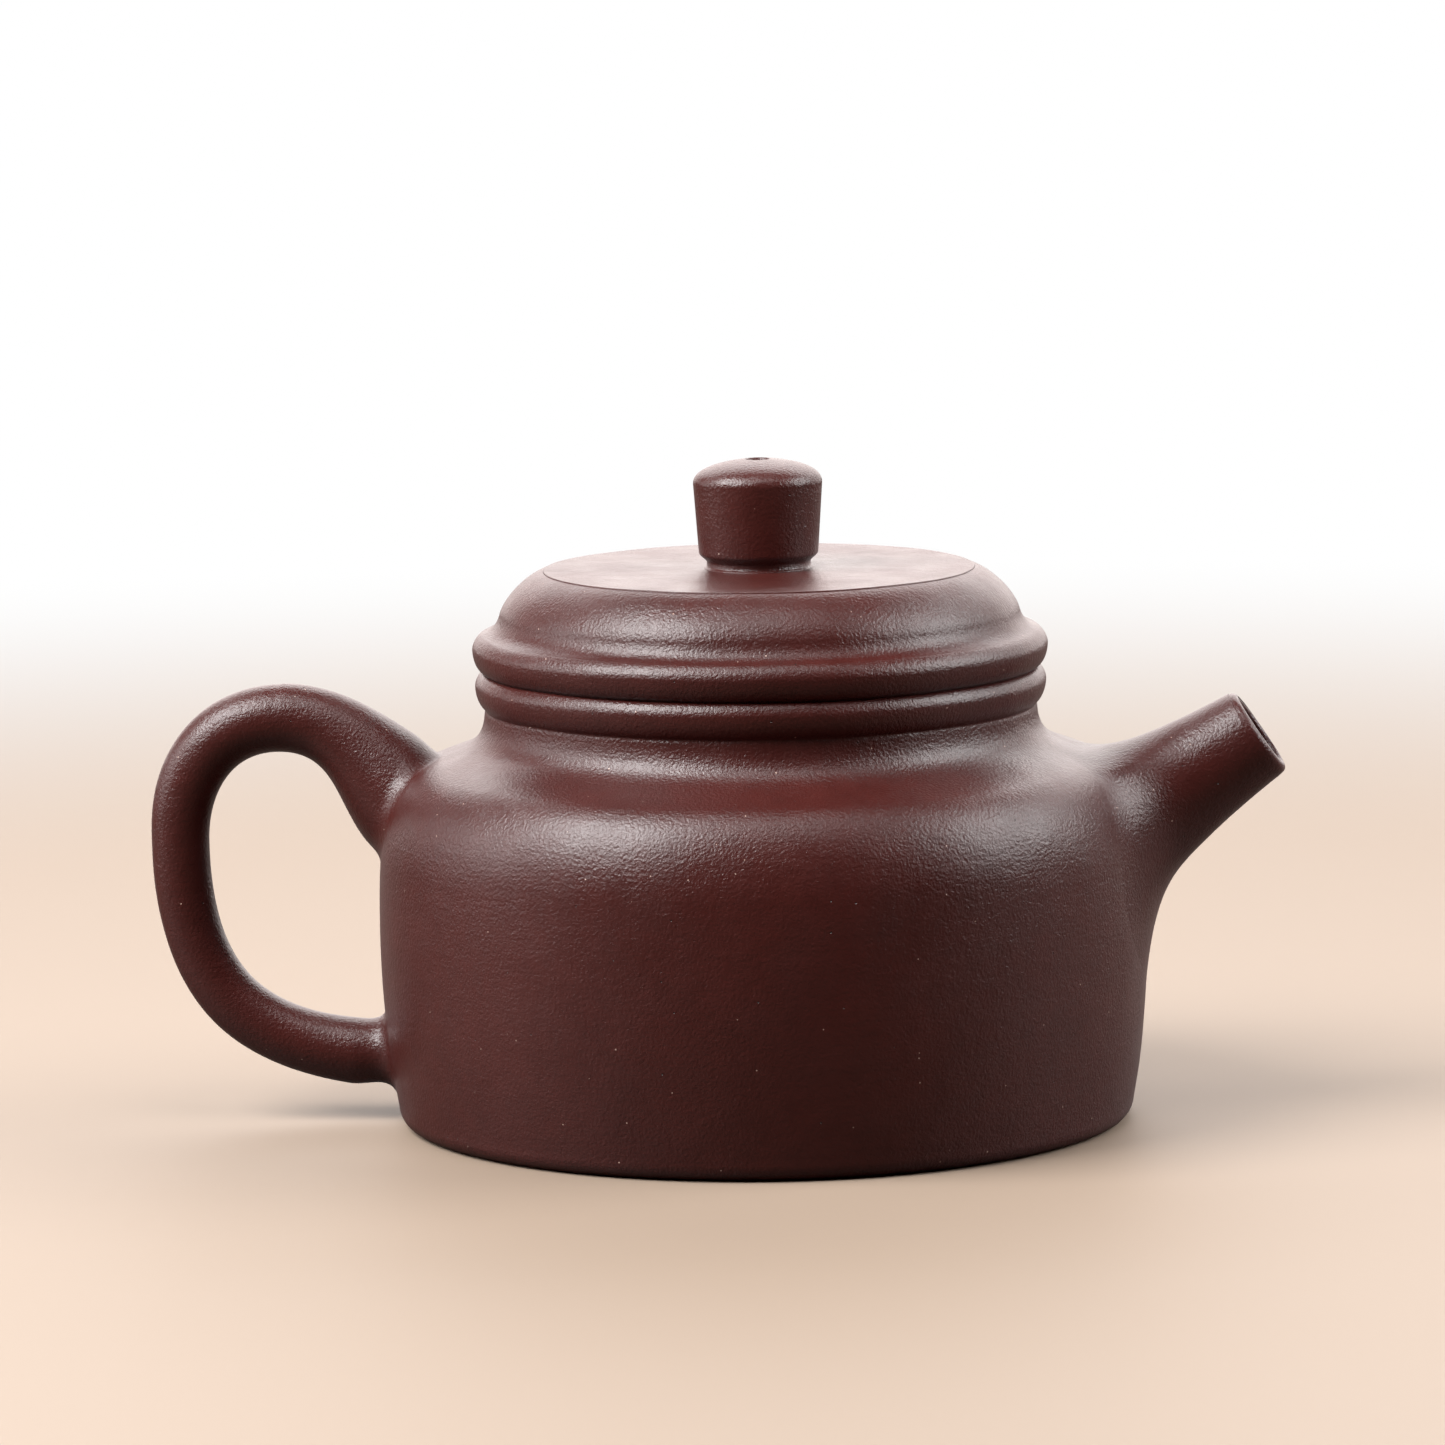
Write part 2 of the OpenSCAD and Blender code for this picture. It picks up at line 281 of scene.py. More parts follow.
def clay_material(name, dark, light, gloss, skin):
    """gloss is the lowest and highest roughness, skin the depth of the wrinkles, 1 for burnished clay."""
    material = bpy.data.materials.new(name)
    material.use_nodes = True
    tree = material.node_tree
    surface = tree.nodes["Principled BSDF"]
    where = tree.nodes.new("ShaderNodeTexCoord").outputs["Object"]
    round_lines = stretched(tree, where, (0.12, 0.12, 1.0))

    clouds = noise(tree, where, 45, 3, 0.55)
    mottle = noise(tree, where, 420, 3, 0.6)
    cloud_share = remap(tree, clouds, 0.3, 0.7, 0.0, 0.6)
    mottle_share = remap(tree, mottle, 0.3, 0.7, 0.0, 0.4)
    tone = calculate(tree, "ADD", cloud_share, mottle_share)
    colour = mix_colour(tree, tone, dark, light)
    mica = spots(tree, where, 900, 0.09, 0.10)
    colour = mix_colour(tree, mica, colour, (0.55, 0.38, 0.31, 1))
    # Painted shade: each pinhole is coloured near-black for the shade inside the hole, and the bump below
    # dents it
    pinhole_pits_and_shade = spots(tree, where, 700, 0.085, 0.14)
    colour = mix_colour(tree, pinhole_pits_and_shade, colour, (0.012, 0.006, 0.005, 1))
    tree.links.new(colour, surface.inputs["Base Color"])

    grain = noise(tree, where, 2800, 3, 0.55, 0.2)
    wrinkles = noise(tree, where, 1800, 2, 0.5, 0.4)
    tool_lines = noise(tree, round_lines, 900, 3, 0.6)
    swells = noise(tree, where, 150, 2, 0.5)
    shine = remap(tree, noise(tree, where, 160, 4, 0.6), 0.3, 0.7, gloss[0], gloss[1])
    tree.links.new(shine, surface.inputs["Roughness"])
    normal = bump(tree, swells, 0.0004, 0.3 * skin)
    normal = bump(tree, tool_lines, 0.00010, 0.4 * skin, normal)
    normal = bump(tree, wrinkles, 0.00010, 0.45 * skin, normal)
    normal = bump(tree, grain, 0.00012, 0.8 * skin, normal)
    hollow = calculate(tree, "SUBTRACT", 1.0, pinhole_pits_and_shade)
    normal = bump(tree, hollow, 0.00010, 0.8, normal)
    tree.links.new(normal, surface.inputs["Normal"])
    surface.inputs["Specular IOR Level"].default_value = 0.5
    return material


burnished_clay = clay_material("burnished_clay", (0.041, 0.0070, 0.0054, 1), (0.062, 0.0110, 0.0086, 1),
                               gloss=(0.28, 0.37), skin=1.0)
plain_clay = clay_material("plain_clay", (0.070, 0.022, 0.016, 1), (0.105, 0.034, 0.025, 1),
                           gloss=(0.62, 0.78), skin=1.4)
print("materials:", burnished_clay.name, plain_clay.name)

# %% [markdown]
# Every clay piece but the spout, the handle and the strainer is round, because the potter shapes it on a
# turntable against a wooden template. So the outline of each piece is drawn once, in millimetres, as
# points of radius and height, and then turned. The heights and main radii are read from the CAD pieces, so
# each outline starts and ends exactly where its neighbour does and no joint shows.

# %% Sizes and outline tools
def top_of(node):
    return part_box(node)[1].z / MM


def radius_of(node):
    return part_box(node)[1].y / MM


def point(radius, height):
    return Vector((radius, height))


body_r = radius_of("body_wall")
belly_z = 25.0
wall_bow_r = 135.0
wall_t = 2.8
foot_r = 42.8
foot_edge_z = 2.2
base_t = top_of("base_plate")
wall_join_z = top_of("body_wall")
neck_join_z = top_of("shoulder_plate")
rim_join_z = top_of("neck_ring")
seat_z = top_of("mouth_rim")
wall_top_z = 33.0
shoulder_edge = point(41, 44.15)
neck_foot = point(33.85, rim_join_z)
groove = neck_foot - point(0.16, 0.9)
rim_bulge = neck_foot + point(0.95, 2.6)
seat_edge = point(33.75, seat_z)
mouth_bore_r = 30.7
hair = 0.02


def bezier(p, t):
    s = 1 - t
    return p[0] * s ** 3 + p[1] * 3 * t * s * s + p[2] * 3 * t * t * s + p[3] * t ** 3


def curve(a, b, c, d, steps=24):
    """A smooth line from a to d that leaves towards b and arrives from c, without its last point."""
    return [bezier((a, b, c, d), i / steps) for i in range(steps)]


def corner(before, tip, after, size, steps=7):
    """A rounded corner: it leaves the line from before to tip, and joins the line from tip to after."""
    start = tip + (before - tip).normalized() * size
    end = tip + (after - tip).normalized() * size
    return [start.lerp(tip, t).lerp(tip.lerp(end, t), t) for t in (i / steps for i in range(steps + 1))]


def at_height(line, height):
    for low, high in zip(line, line[1:]):
        if low.y <= height <= high.y and high.y > low.y:
            return low.lerp(high, (height - low.y) / (high.y - low.y))
    return min((line[0], line[-1]), key=lambda end: abs(end.y - height)).copy()


def between(line, low, high):
    """The part of a rising line between two heights, with a second point a hair from each end."""
    inner = [p.y for p in line if low + 2 * hair < p.y < high - 2 * hair]
    return [at_height(line, z) for z in [low, low + hair] + inner + [high - hair, high]]


def wall_radius(height):
    return body_r - (height - belly_z) ** 2 / (2 * wall_bow_r)


def wall_line(low, high, inset, steps=30):
    heights = [low + (high - low) * i / steps for i in range(steps)]
    return [point(wall_radius(z) - inset, z) for z in heights]


wall_foot = point(wall_radius(foot_edge_z), foot_edge_z)
wall_top = point(wall_radius(wall_top_z), wall_top_z)
inner_top = wall_top - point(wall_t, 0)
neck_inside = point(mouth_bore_r, shoulder_edge.y - 0.4)
outside = (curve(point(foot_r, 0), point(foot_r + 1.5, 0.1), wall_foot - point(0.1, 1.2), wall_foot)
           + wall_line(foot_edge_z, wall_top_z, 0)
           + curve(wall_top, wall_top + point(-0.33, 5.5), shoulder_edge + point(3.2, -1.28), shoulder_edge)
           + curve(shoulder_edge, shoulder_edge + point(-4, 1.6), groove + point(0.25, -4.3), groove)
           + curve(groove, groove + point(-0.03, 0.6), neck_foot + point(-0.4, -0.35), neck_foot, 10)
           + curve(neck_foot, neck_foot + point(0.5, 0.45), rim_bulge - point(0, 1.1), rim_bulge)
           + curve(rim_bulge, rim_bulge + point(0, 0.6), seat_edge + point(0.5, -0.12), seat_edge)
           + [seat_edge])
inside = (wall_line(base_t, wall_top_z, wall_t)
          + curve(inner_top, inner_top + point(-0.33, 5), neck_inside + point(10, -1.6), neck_inside)
          + [neck_inside, point(mouth_bore_r, seat_z)])
print("outline points:", len(outside), "outside,", len(inside), "inside")

# %% [markdown]
# Turning is a Geometry Nodes tree: it takes the outline's points, lays out a grid with one row per point
# and one column per step round the axis, and wraps the grid round. A second small tree, used by every
# piece but the strainer's holes, moves the clay by a few hundredths of a millimetre with a slow noise,
# because a hand-built pot is never quite true. The movement depends only on the place, so touching pieces
# move together.

# %% Node trees
def new_tree(name, inputs):
    tree = bpy.data.node_groups.new(name, "GeometryNodeTree")
    tree.is_modifier = True
    tree.interface.new_socket("Geometry", in_out="INPUT", socket_type="NodeSocketGeometry")
    tree.interface.new_socket("Geometry", in_out="OUTPUT", socket_type="NodeSocketGeometry")
    for label, kind, value in inputs:
        socket = tree.interface.new_socket(label, in_out="INPUT", socket_type=kind)
        if value is not None:
            socket.default_value = value
    return tree, tree.nodes.new("NodeGroupInput"), tree.nodes.new("NodeGroupOutput")


def make_wobble_tree():
    tree, given, result = new_tree("hand_wobble", [("Amount", "NodeSocketFloat", 0.00022),
                                                   ("Scale", "NodeSocketFloat", 70.0)])
    place = tree.nodes.new("GeometryNodeInputPosition")
    field = tree.nodes.new("ShaderNodeTexNoise")
    field.inputs["Detail"].default_value = 1.0
    centred = tree.nodes.new("ShaderNodeVectorMath")
    centred.operation = "SUBTRACT"
    centred.inputs[1].default_value = (0.5, 0.5, 0.5)
    height = tree.nodes.new("ShaderNodeSeparateXYZ")
    grounded = tree.nodes.new("ShaderNodeMapRange")
    grounded.inputs["From Max"].default_value = 0.004
    sized = tree.nodes.new("ShaderNodeVectorMath")
    sized.operation = "SCALE"
    moved = tree.nodes.new("GeometryNodeSetPosition")
    link = tree.links.new
    link(place.outputs[0], field.inputs["Vector"])
    link(given.outputs["Scale"], field.inputs["Scale"])
    link(field.outputs["Color"], centred.inputs[0])
    link(place.outputs[0], height.inputs[0])
    link(height.outputs["Z"], grounded.inputs["Value"])
    link(centred.outputs[0], sized.inputs[0])
    link(calculate(tree, "MULTIPLY", grounded.outputs[0], given.outputs["Amount"]), sized.inputs["Scale"])
    link(given.outputs["Geometry"], moved.inputs["Geometry"])
    link(sized.outputs[0], moved.inputs["Offset"])
    link(moved.outputs[0], result.inputs["Geometry"])
    return tree


def finish_tree(tree, geometry, given, result, wobble=None):
    """The last nodes of every tree: wobble, smooth shading, Realize Instances and Set Material."""
    link = tree.links.new
    if wobble is not None:
        moved = tree.nodes.new("GeometryNodeGroup")
        moved.node_tree = wobble
        link(geometry, moved.inputs["Geometry"])
        geometry = moved.outputs["Geometry"]
    for kind in ("GeometryNodeSetShadeSmooth", "GeometryNodeRealizeInstances", "GeometryNodeSetMaterial"):
        node = tree.nodes.new(kind)
        link(geometry, node.inputs["Geometry"])
        geometry = node.outputs["Geometry"]
    link(given.outputs["Clay"], node.inputs["Material"])
    link(geometry, result.inputs["Geometry"])


def make_turning_tree(wobble):
    tree, given, result = new_tree("turned_piece", [("Segments", "NodeSocketInt", 256),
                                                    ("Clay", "NodeSocketMaterial", None)])
    link = tree.links.new
    size = tree.nodes.new("GeometryNodeAttributeDomainSize")
    grid = tree.nodes.new("GeometryNodeMeshGrid")
    index = tree.nodes.new("GeometryNodeInputIndex")
    place = tree.nodes.new("GeometryNodeInputPosition")
    sample = tree.nodes.new("GeometryNodeSampleIndex")
    sample.data_type = "FLOAT_VECTOR"
    outline_point = tree.nodes.new("ShaderNodeSeparateXYZ")
    wrapped_point = tree.nodes.new("ShaderNodeCombineXYZ")
    wrapped = tree.nodes.new("GeometryNodeSetPosition")
    merged = tree.nodes.new("GeometryNodeMergeByDistance")
    merged.inputs["Distance"].default_value = 1e-6
    link(given.outputs["Geometry"], size.inputs["Geometry"])
    link(calculate(tree, "ADD", given.outputs["Segments"], 1.0), grid.inputs["Vertices X"])
    link(size.outputs["Point Count"], grid.inputs["Vertices Y"])
    rows = size.outputs["Point Count"]
    column = calculate(tree, "FLOOR", calculate(tree, "DIVIDE", index.outputs[0], rows))
    row = calculate(tree, "MODULO", index.outputs[0], rows)
    share = calculate(tree, "DIVIDE", column, given.outputs["Segments"])
    angle = calculate(tree, "MULTIPLY", share, 2 * math.pi)
    link(given.outputs["Geometry"], sample.inputs["Geometry"])
    link(place.outputs[0], sample.inputs["Value"])
    link(row, sample.inputs["Index"])
    link(sample.outputs[0], outline_point.inputs[0])
    radius = outline_point.outputs["X"]
    link(calculate(tree, "MULTIPLY", radius, calculate(tree, "COSINE", angle)), wrapped_point.inputs["X"])
    link(calculate(tree, "MULTIPLY", radius, calculate(tree, "SINE", angle)), wrapped_point.inputs["Y"])
    link(outline_point.outputs["Z"], wrapped_point.inputs["Z"])
    link(grid.outputs["Mesh"], wrapped.inputs["Geometry"])
    link(wrapped_point.outputs[0], wrapped.inputs["Position"])
    link(wrapped.outputs[0], merged.inputs["Geometry"])
    finish_tree(tree, merged.outputs[0], given, result, wobble)
    return tree


def make_modelling_tree(wobble):
    tree, given, result = new_tree("modelled_piece", [("Clay", "NodeSocketMaterial", None)])
    finish_tree(tree, given.outputs["Geometry"], given, result, wobble)
    return tree


wobble_tree = make_wobble_tree()
turning_tree = make_turning_tree(wobble_tree)
modelling_tree = make_modelling_tree(wobble_tree)
print("node trees:", [tree.name for tree in bpy.data.node_groups])

# %% [markdown]
# A piece goes through the same steps each time. Its tree or modifier is run once, the result becomes a
# plain mesh, its faces are turned outwards, edges sharper than a set angle stay crisp, and the finished
# object is tied to its CAD body, while the CAD piece it stands for is hidden.

# %% Making and placing a piece
def temporary(mesh):
    helper = bpy.data.objects.new("helper", mesh)
    bpy.context.scene.collection.objects.link(helper)
    return helper


def evaluated(helper):
    """The helper's mesh with its modifiers run. The helper is then removed."""
    bpy.context.view_layer.update()
    graph = bpy.context.evaluated_depsgraph_get()
    mesh = bpy.data.meshes.new_from_object(helper.evaluated_get(graph))
    bpy.data.objects.remove(helper)
    return mesh


def run_tree(mesh, tree, **inputs):
    helper = temporary(mesh)
    modifier = helper.modifiers.new("tree", "NODES")
    modifier.node_group = tree
    names = {item.name: item.identifier for item in tree.interface.items_tree if item.in_out == "INPUT"}
    for label, value in inputs.items():
        modifier[names[label]] = value
    return evaluated(helper)


def carve(mesh, tool, operation="DIFFERENCE"):
    helper, cutter = temporary(mesh), temporary(tool)
    modifier = helper.modifiers.new("carve", "BOOLEAN")
    modifier.operation = operation
    modifier.solver = "EXACT"
    modifier.object = cutter
    result = evaluated(helper)
    bpy.data.objects.remove(cutter)
    return result


def face_outwards(mesh):
    work = bmesh.new()
    work.from_mesh(mesh)
    bmesh.ops.remove_doubles(work, verts=work.verts, dist=1e-7)
    bmesh.ops.recalc_face_normals(work, faces=work.faces)
    work.to_mesh(mesh)
    work.free()
    return mesh


def turned(outline, clay, closed=True, segments=256):
    """The solid that an outline makes when it is turned about Z. A closed outline is a ring."""
    points = outline + [outline[0]] if closed else outline
    mesh = bpy.data.meshes.new("outline")
    mesh.from_pydata([(p.x * MM, 0, p.y * MM) for p in points], [], [])
    return face_outwards(run_tree(mesh, turning_tree, Segments=segments, Clay=clay))


def place(name, mesh, node, body, slot, sharp=35):
    mesh.name = name
    mesh.shade_smooth()
    mesh.set_sharp_from_angle(angle=math.radians(sharp))
    made = bpy.data.objects.new(name, mesh)
    bpy.context.scene.collection.objects.link(made)
    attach(made, body)
    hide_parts(node)
    print(name, len(mesh.polygons), "faces")
    return made


# %% [markdown]
# The spout's passage is needed before the pot: it is a round hole that narrows towards the mouth and runs
# on through the wall, where the strainer covers it. The tool that cuts it is a turned solid laid along the
# spout's axis. It flares at the mouth, which rounds the inner edge of the lip.

# %% Spout axis and passage
spout_tilt = math.radians(35.5)
mouth_centre = Vector((60.85, 0, 47.15))
spout_dir = Vector((math.cos(spout_tilt), 0, math.sin(spout_tilt)))
spout_bore_r = 4.4
passage_r = 6.2
taper_length = 14.0
passage_reach = 32.0
strainer_depth = 20.0


def along_spout(distance):
    """Moves a mesh made about Z onto the spout's axis, a distance out from the mouth, with +Z outwards."""
    lie = Matrix.Rotation(math.pi / 2 - spout_tilt, 4, "Y")
    return Matrix.Translation((mouth_centre + spout_dir * distance) * MM) @ lie


def passage_tool():
    lip = 0.55
    flare = [point(spout_bore_r + lip - lip * math.cos(a), -lip + lip * math.sin(a))
             for a in (math.radians(15 * i) for i in range(1, 7))]
    outline = ([point(0, -passage_reach), point(passage_r, -passage_reach),
                point(passage_r, -taper_length - 1.5)]
               + curve(point(passage_r, -taper_length - 1.5), point(passage_r, -taper_length),
                       point(passage_r - 0.1, -taper_length), point(passage_r - 0.3, -taper_length + 2), 6)
               + [point(spout_bore_r, -lip)] + flare
               + [point(spout_bore_r + lip, 2), point(0, 2)])
    tool = turned(outline, None, closed=False, segments=96)
    tool.transform(along_spout(0))
    return tool


# %% [markdown]
# The pot itself is five pieces luted together with slip and smoothed over: the base plate, the wall, the
# shoulder plate, the neck and the mouth rim. Each takes its part of the two long outlines, the outside and
# the inside. The wall and the shoulder are cut through for the passage.

# %% The pot's clay pieces
def band(low, high):
    return between(outside, low, high) + between(inside, low, high)[::-1]


base_outline = [point(0, 0)] + between(outside, 0, base_t) + [point(0, base_t)]
base_mesh = turned(base_outline, burnished_clay, closed=False)
place("base_clay", base_mesh, "base_plate", "pot", "burnished_clay")

wall_mesh = carve(turned(band(base_t, wall_join_z), burnished_clay), passage_tool())
place("wall_clay", wall_mesh, "body_wall", "pot", "burnished_clay")

shoulder_mesh = carve(turned(band(wall_join_z, neck_join_z), burnished_clay), passage_tool())
place("shoulder_clay", shoulder_mesh, "shoulder_plate", "pot", "burnished_clay")

neck_mesh = turned(band(neck_join_z, rim_join_z), burnished_clay)
place("neck_clay", neck_mesh, "neck_ring", "pot", "burnished_clay")

seat_inner = point(mouth_bore_r, seat_z)
rim_outline = (between(outside, rim_join_z, seat_z)
               + corner(seat_edge, seat_inner, point(mouth_bore_r, rim_join_z), 0.45)
               + [point(mouth_bore_r, rim_join_z)])
place("rim_clay", turned(rim_outline, burnished_clay), "mouth_rim", "pot", "burnished_clay")

# %% [markdown]
# The lid is five pieces too. The flange hangs down into the neck and keeps the lid central. It stops a hair
# below the cover, because the cover turns on it and neither is quite true. The cover is a shallow dome.
# Round its foot runs a bead, and on its top lies a thin flat disc that the knob stands on. The air hole goes
# through the knob, the disc and the cover, and opens out below.

# %% The lid's clay pieces
bead_top_z = top_of("lid_rim_bead")
cover_top_z = top_of("lid_cover")
lid_top_z = top_of("lid_top_disc")
knob_top_z = top_of("knob")
disc_r = radius_of("lid_top_disc")
flange_outer_r = radius_of("lid_flange")
flange_inner_r = flange_outer_r - 2.2
flange_foot_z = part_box("lid_flange")[0].z / MM
bead_inner_r = 31.5
air_hole_r = 1.3
trumpet_r = 3.0
bead_bulge = seat_edge + point(1.3, 2.7)
bead_top = point(seat_edge.x - 0.05, bead_top_z)
cove_top = point(31.65, bead_top_z + 2.4)
disc_step = 0.15
cover_edge = point(disc_r, lid_top_z - disc_step)
ceiling_z = cover_top_z - 2.9

low_in, low_out = point(flange_inner_r, flange_foot_z), point(flange_outer_r, flange_foot_z)
high_out, high_in = point(flange_outer_r, seat_z), point(flange_inner_r, seat_z)
turning_gap = point(0, 0.14)
flange_outline = (corner(high_in, low_in, low_out, 0.7) + corner(low_in, low_out, high_out, 0.7)
                  + [high_out - turning_gap, high_in - turning_gap])
place("flange_clay", turned(flange_outline, plain_clay), "lid_flange", "lid_lift", "plain_clay")

seam_lift = point(0, 0.16)
bead_outline = ([point(bead_inner_r, seat_z), point(seat_edge.x - 0.6, seat_z)]
                + curve(point(seat_edge.x - 0.35, seat_z), seat_edge, seat_edge + point(-0.1, 0),
                        seat_edge + seam_lift, 6)
                + curve(seat_edge + seam_lift, seat_edge + point(0.6, 0.25), bead_bulge - point(0.05, 1.5),
                        bead_bulge)
                + curve(bead_bulge, bead_bulge + point(0.02, 0.7), bead_top + point(0.7, -0.2), bead_top)
                + [bead_top, point(bead_inner_r, bead_top_z)])
place("bead_clay", turned(bead_outline, burnished_clay), "lid_rim_bead", "lid", "burnished_clay")

cover_outline = ([point(bead_inner_r, seat_z), point(bead_inner_r, bead_top_z)]
                 + curve(bead_top, bead_top + point(-1.2, 0.3), cove_top + point(0.3, -1.2), cove_top)
                 + curve(cove_top, cove_top + point(-0.55, 1.8), cover_edge + point(2.3, -0.6), cover_edge)
                 + [cover_edge, point(disc_r, cover_top_z), point(air_hole_r, cover_top_z)]
                 + curve(point(air_hole_r, cover_top_z), point(air_hole_r, cover_top_z - 1.2),
                         point(trumpet_r - 1, ceiling_z), point(trumpet_r, ceiling_z), 8)
                 + [point(trumpet_r, ceiling_z)]
                 + curve(point(19, ceiling_z), point(24, ceiling_z), point(flange_inner_r, seat_z + 6.5),
                         high_in)
                 + [high_in])
place("cover_clay", turned(cover_outline, burnished_clay), "lid_cover", "lid", "burnished_clay")

disc_side = point(disc_r - 0.02, lid_top_z)
disc_outline = ([point(air_hole_r, cover_top_z), point(disc_side.x, cover_top_z)]
                + corner(point(disc_side.x, cover_top_z), disc_side, point(0, lid_top_z), 0.16)
                + [point(disc_side.x - 0.4, lid_top_z), point(air_hole_r, lid_top_z)])
place("disc_clay", turned(disc_outline, burnished_clay), "lid_top_disc", "lid", "burnished_clay")

# %% [markdown]
# The knob is a thick button on a short neck. It is turned on its own and luted on, with a hair of slip left
# round its foot. Its side opens out, then runs almost upright to a round shoulder, and the top is a low dome
# with the air hole's small dimple in it.

# %% The knob
knob_r = 7.86
knob_neck_r = 6.35
knob_foot = point(knob_neck_r, lid_top_z)
neck_top = knob_foot + point(0, 0.9)
side_low = point(knob_r - 0.58, lid_top_z + 1.75)
side_top = point(knob_r, knob_top_z - 2.9)
crown_edge = point(air_hole_r + 0.35, knob_top_z)
slip = point(0.35, 0)
knob_outline = ([point(air_hole_r, lid_top_z), knob_foot + slip]
                + curve(knob_foot + slip, knob_foot + slip + point(0, 0.12), knob_foot + point(0.02, 0.15),
                        knob_foot + point(0, 0.45), 8)
                + corner(knob_foot, neck_top, side_low, 0.18)
                + corner(neck_top, side_low, side_top, 0.28)
                + curve(side_top, side_top + point(0.05, 1.7), crown_edge + point(3.6, -0.4), crown_edge, 40)
                + curve(crown_edge, crown_edge + point(-0.25, 0), point(air_hole_r, knob_top_z - 0.3),
                        point(air_hole_r, knob_top_z - 0.7), 8)
                + [point(air_hole_r, knob_top_z - 0.7)])
place("knob_clay", turned(knob_outline, burnished_clay, segments=192), "knob", "lid", "burnished_clay")

# %% [markdown]
# The spout and the handle are rolled by hand, cut to fit, and luted onto the finished body. A little extra
# clay is worked into the joint, so each one swells into the body in a smooth curve. To model that, the tube
# is a stack of rings. From its last ring every line runs on, in a curve, to a footprint drawn on the
# body's own surface, and arrives there along the surface. After that the rings dive into the wall's
# thickness and close.

# %% Tools for the spout and the handle
outline_lengths = [0.0]
for low, high in zip(outside, outside[1:]):
    outline_lengths.append(outline_lengths[-1] + (high - low).length)


def length_at(height):
    """How far along the outside outline a height is, in millimetres."""
    target = at_height(outside, height)
    for i, (low, high) in enumerate(zip(outside, outside[1:])):
        if low.y <= height <= high.y:
            return outline_lengths[i] + (target - low).length
    return outline_lengths[-1]


def outline_at(length):
    """The point of the outside outline that lies a length along it."""
    for i, (low, high) in enumerate(zip(outside, outside[1:])):
        start, end = outline_lengths[i:i + 2]
        if end >= length:
            return low.lerp(high, (length - start) / (end - start))
    return outside[-1].copy()


def on_body(length, turn, depth=0.0):
    """The point on the body at a length along its outline and an angle about the axis, some depth in."""
    here = outline_at(length)
    way = (outline_at(length + 0.4) - outline_at(max(0, length - 0.4))).normalized()
    radius, height = here.x - way.y * depth, here.y + way.x * depth
    return Vector((radius * math.cos(turn), radius * math.sin(turn), height))


class Footprint:
    """An egg-shaped patch of the body's surface, given by its two ends, its middle and its half width."""

    def __init__(self, turn, low, middle, high, half_width, first=1):
        """first is 1 if the rings that meet it start at its top, and -1 if they start at its bottom."""
        self.turn = turn
        self.first = first
        self.middle = length_at(middle)
        self.below = self.middle - length_at(low)
        self.above = length_at(high) - self.middle
        self.half_turn = half_width / outline_at(self.middle).x
        self.side = 1 if abs(turn) < 1 else -1

    def spot(self, angle, share=1.0, depth=0.0):
        rise = math.cos(angle) * self.first
        rise *= self.above if rise > 0 else self.below
        across = self.side * math.sin(angle) * self.half_turn
        return on_body(self.middle + share * rise, self.turn + share * across, depth)

    def outward(self, angle):
        return (self.spot(angle, 1.03, 0.05) - self.spot(angle, 0.97, 0.0)).normalized()


def root_rings(last, before, footprint, tube_pull, body_pulls, steps=26):
    """Rings from a tube's last ring, by way of the ring before it, to a footprint, and on into the wall.

    body_pulls say how wide the joint's curve is where the rings start and on the opposite side."""
    count = len(last)
    angles = [2 * math.pi * j / count for j in range(count)]
    lines = []
    for angle, here, past in zip(angles, last, before):
        end = footprint.spot(angle, depth=0.012)
        span = (end - here).length
        leave = here + (here - past).normalized() * span * tube_pull
        near = (1 + math.cos(angle)) / 2
        body_pull = body_pulls[0] * near + body_pulls[1] * (1 - near)
        arrive = end - footprint.outward(angle) * span * body_pull
        lines.append((here, leave, arrive, end))
    rings = [[bezier(line, i / steps) for line in lines] for i in range(1, steps + 1)]
    for share, depth in ((1.01, 0.25), (1.0, 1.2), (0.8, 1.3), (0.55, 1.3), (0.3, 1.3), (0.1, 1.3)):
        rings.append([footprint.spot(angle, share, depth) for angle in angles])
    return rings


def ring_solid(rings):
    """One closed skin through a stack of rings, with a fan of faces over each end."""
    count = len(rings[0])
    points = [p * MM for ring in rings for p in ring]
    faces = []
    for i in range(len(rings) - 1):
        for j in range(count):
            k = (j + 1) % count
            faces.append((i * count + j, i * count + k, (i + 1) * count + k, (i + 1) * count + j))
    for ring, first in ((rings[0], 0), (rings[-1], (len(rings) - 1) * count)):
        points.append(sum(ring, Vector()) / count * MM)
        faces += [(first + j, first + (j + 1) % count, len(points) - 1) for j in range(count)]
    mesh = bpy.data.meshes.new("rings")
    mesh.from_pydata(points, [], faces)
    return face_outwards(mesh)


def oval(centre, half_axis, half_width, count=96):
    side = Vector((0, half_width, 0))
    return [centre + half_axis * math.cos(a) + side * math.sin(a)
            for a in (2 * math.pi * j / count for j in range(count))]


def in_plane(pairs):
    return [Vector((x, 0, z)) for x, z in pairs]


# %% [markdown]
# The spout is short and straight and stands at the corner of wall and shoulder. It widens towards the body
# on all sides, most of all below, where it runs far down the wall. Its mouth is cut square to its axis and
# the lip's edges are rubbed round.

# %% The spout
spout_top = in_plane(((57.6, 51.9), (51.5, 48.9), (47, 45.9), (37.5, 45.4)))
spout_low = in_plane(((64.1, 42.4), (55.5, 35.6), (46.8, 28.6), (46.4, 18)))
spout_half_width = (5.75, 6.6, 7.2, 13.5)
lip_round = 0.8
spout_end, spout_root = 0.04, 0.38


def spout_ring(t, shrink=0.0, back=0.0):
    high, low = bezier(spout_top, t), bezier(spout_low, t)
    half = (high - low) / 2
    smaller = 1 - shrink / half.length
    return oval((high + low) / 2 - spout_dir * back, half * smaller, bezier(spout_half_width, t) - shrink)


